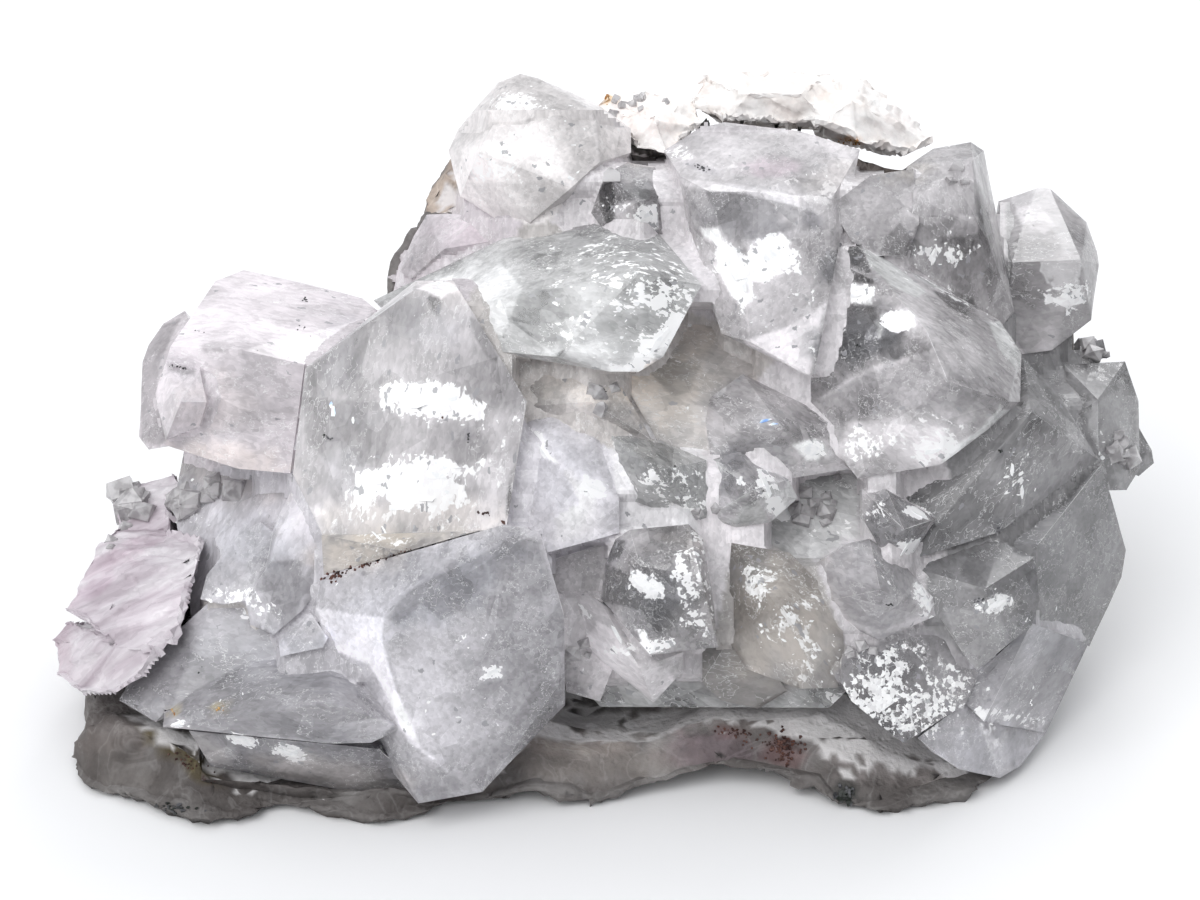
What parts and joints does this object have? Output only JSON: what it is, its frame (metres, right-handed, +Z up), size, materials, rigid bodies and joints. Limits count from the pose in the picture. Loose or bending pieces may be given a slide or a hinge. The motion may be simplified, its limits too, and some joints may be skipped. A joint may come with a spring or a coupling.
{
  "type": "apophyllite specimen",
  "caption": "Cluster of clear and milky apophyllite crystals grown over one side of a rough lump of pale matrix, with a lilac mass and a cream crust.",
  "frame": {"origin": "middle of the bounding box's footprint, on the plane the specimen rests on", "axes": "+Z up, +X along the specimen's length, the crystal-covered side faces -Y"},
  "size_m": [0.1226, 0.0792, 0.0611],
  "materials": {
    "apophyllite": "clear to milky, vitreous",
    "lilac_mineral": "pearly, finely striped",
    "cream_mineral": "pearly, sugary",
    "rock": "rough, broken"
  },
  "bodies": {
    "root": {"crystal_cluster": "apophyllite", "lilac_mass": "lilac_mineral", "cream_crust": "cream_mineral", "matrix": "rock"}
  },
  "joints": []
}
